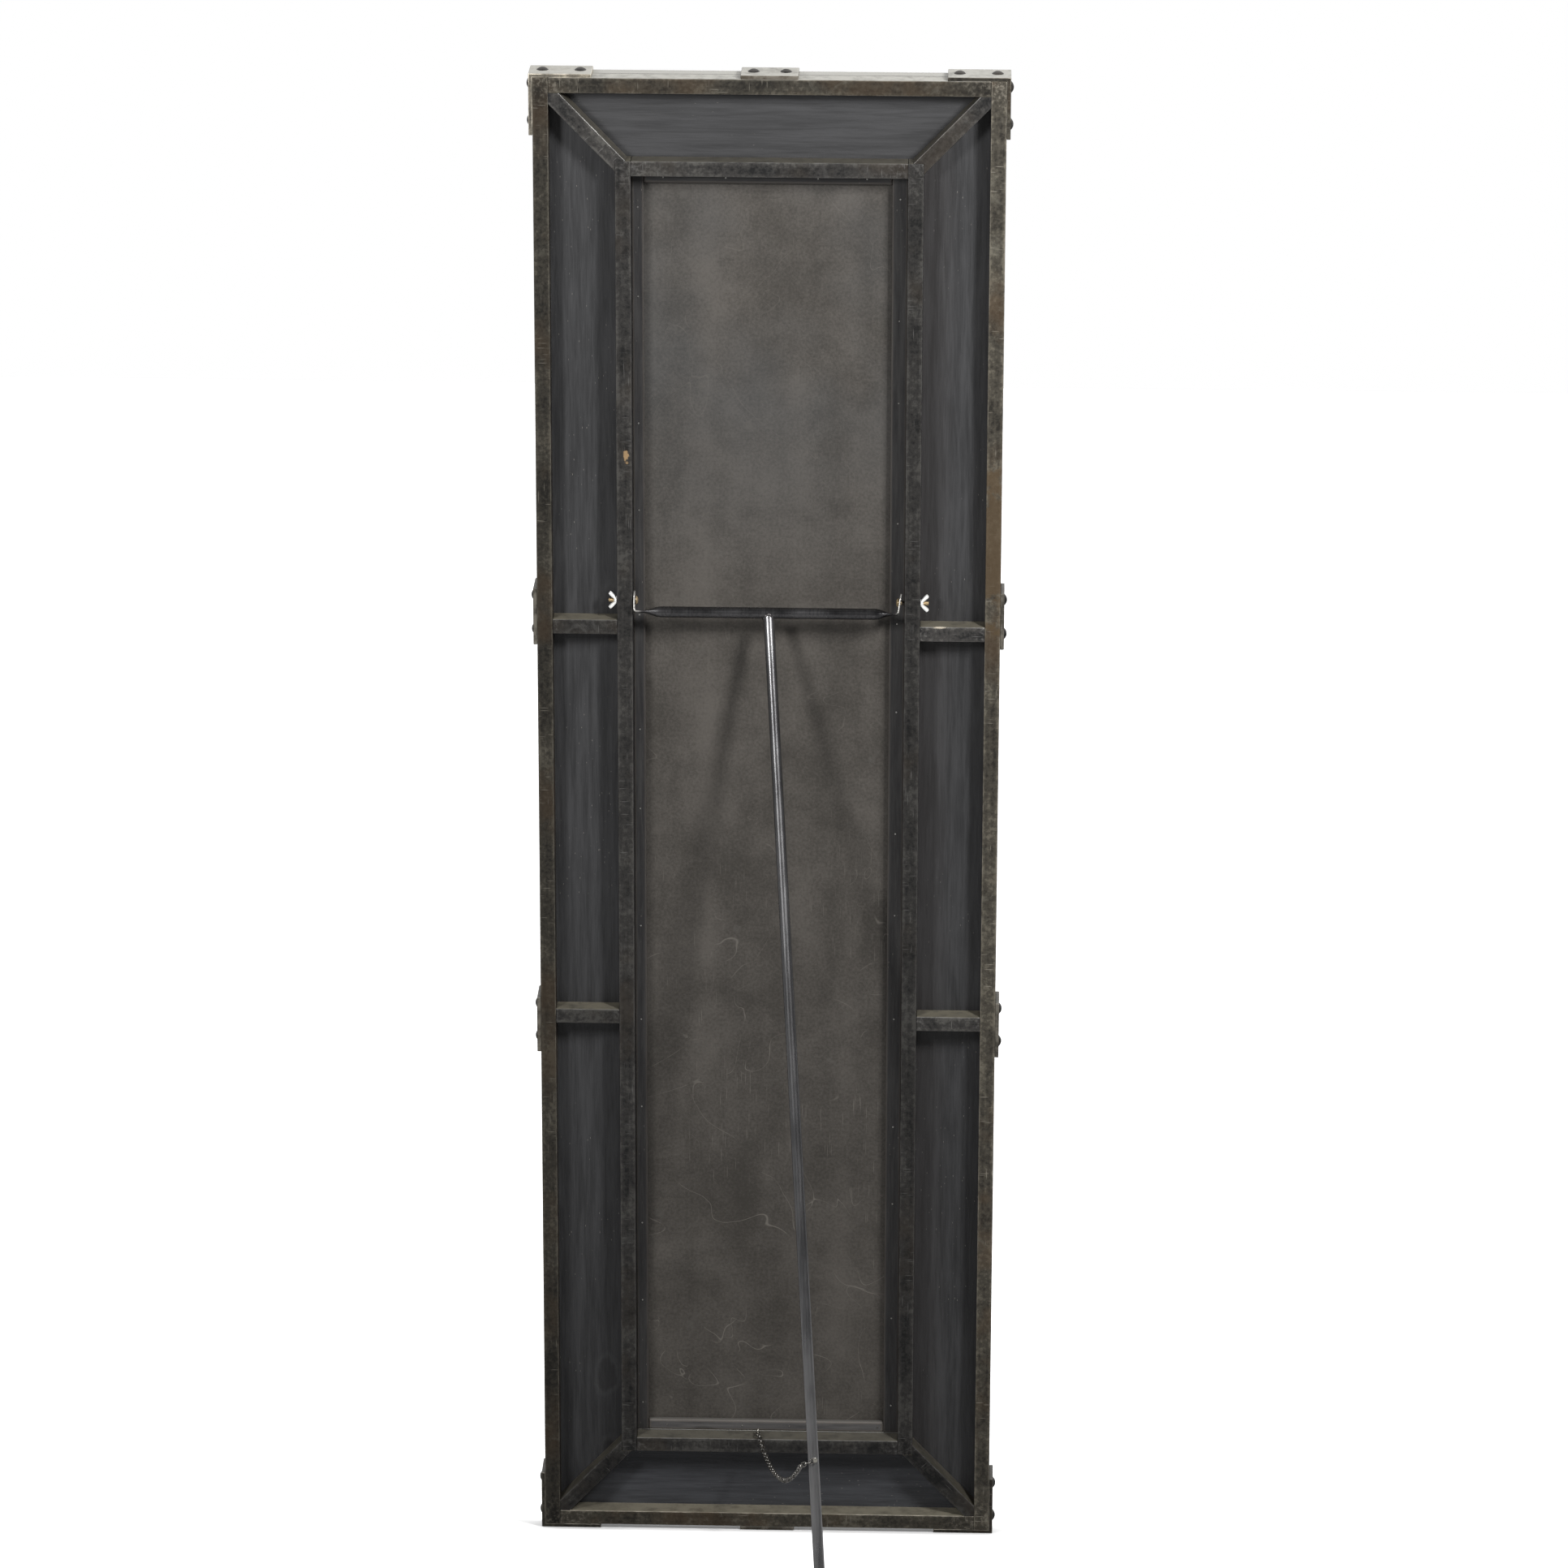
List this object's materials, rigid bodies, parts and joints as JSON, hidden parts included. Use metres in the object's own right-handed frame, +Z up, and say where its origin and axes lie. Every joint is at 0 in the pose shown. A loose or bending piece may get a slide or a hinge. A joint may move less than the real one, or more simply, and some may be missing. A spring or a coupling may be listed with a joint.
{
  "type": "easel floor mirror",
  "caption": "Tall leaning floor mirror with a welded steel back frame, riveted corner straps, dark wood border and a folding prop leg stopped by a chain.",
  "frame": {"origin": "on the floor, under the middle of the whole object's footprint box", "axes": "+Z up; +X along the mirror's width, to the right seen from behind; +Y towards the side that the glass faces, so the prop leg's foot is at -Y"},
  "size_m": [0.617, 0.5328, 1.9619],
  "materials": {
    "outer_steel": "dark brown patina, worn to bare metal at corners, scratched",
    "inner_steel": "dark grey patina, satin",
    "brace_steel": "dark grey patina, satin, dusty on top",
    "strap_steel": "brown grey patina, worn edges",
    "rivet_steel": "brown patina, polished crowns",
    "stained_wood": "black stain, matt, sawn grain",
    "mirror_glass": "clear polished",
    "hardboard": "grey brown hardboard, matt, scuffed",
    "strip_wood": "black stain, matt",
    "nail_steel": "bright",
    "bolt_brass": "copper coloured, dull",
    "zinc": "bright zinc",
    "leg_steel": "dark waxed steel, glossy",
    "weld_steel": "dark weld bead",
    "black_rubber": "matt",
    "chain_steel": "dull nickel",
    "eye_steel": "dull zinc"
  },
  "bodies": {
    "mirror": {"outer_stile_left": "outer_steel", "outer_stile_right": "outer_steel", "outer_rail_top": "outer_steel", "outer_rail_bottom": "outer_steel", "inner_stile_left": "inner_steel", "inner_stile_right": "inner_steel", "inner_rail_top": "inner_steel", "inner_rail_bottom": "inner_steel", "corner_brace_top_left": "brace_steel", "corner_brace_top_right": "brace_steel", "corner_brace_bottom_left": "brace_steel", "corner_brace_bottom_right": "brace_steel", "side_strut_upper_left": "brace_steel", "side_strut_upper_right": "brace_steel", "side_strut_lower_left": "brace_steel", "side_strut_lower_right": "brace_steel", "border_board_left": "stained_wood", "border_board_right": "stained_wood", "border_board_top": "stained_wood", "border_board_bottom": "stained_wood", "mirror_glass": "mirror_glass", "back_panel": "hardboard", "retaining_strip_left": "strip_wood", "retaining_strip_right": "strip_wood", "retaining_strip_top": "strip_wood", "retaining_strip_bottom": "strip_wood", "strip_nails": "nail_steel", "corner_strap_top_left": "strap_steel", "corner_strap_top_right": "strap_steel", "corner_strap_bottom_left": "strap_steel", "corner_strap_bottom_right": "strap_steel", "side_strap_upper_left": "strap_steel", "side_strap_upper_right": "strap_steel", "side_strap_lower_left": "strap_steel", "side_strap_lower_right": "strap_steel", "end_strap_top": "strap_steel", "end_strap_bottom": "strap_steel", "strap_rivets": "rivet_steel", "pivot_bolt_left": "bolt_brass", "pivot_bolt_right": "bolt_brass", "chain_eye": "eye_steel", "limit_chain": "chain_steel"},
    "leg": {"prop_crossbar": "leg_steel", "prop_leg": "leg_steel", "leg_weld": "weld_steel", "rubber_foot": "black_rubber", "chain_screw": "eye_steel"},
    "left_nut": {"wing_nut_left": "zinc"},
    "right_nut": {"wing_nut_right": "zinc"}
  },
  "joints": [
    {"name": "leg_swing", "type": "hinge", "parent": "mirror", "child": "leg", "pos_m": [0, -0.09542, 1.27666], "axis": [-1, 0, 0], "range_deg": [-20, 0.5], "deforming": ["limit_chain"]},
    {"name": "left_nut_turn", "type": "hinge", "parent": "mirror", "child": "left_nut", "pos_m": [-0.1963, -0.09542, 1.27666], "axis": [-1, 0, 0], "continuous": true},
    {"name": "right_nut_turn", "type": "hinge", "parent": "mirror", "child": "right_nut", "pos_m": [0.1963, -0.09542, 1.27666], "axis": [1, 0, 0], "continuous": true}
  ]
}
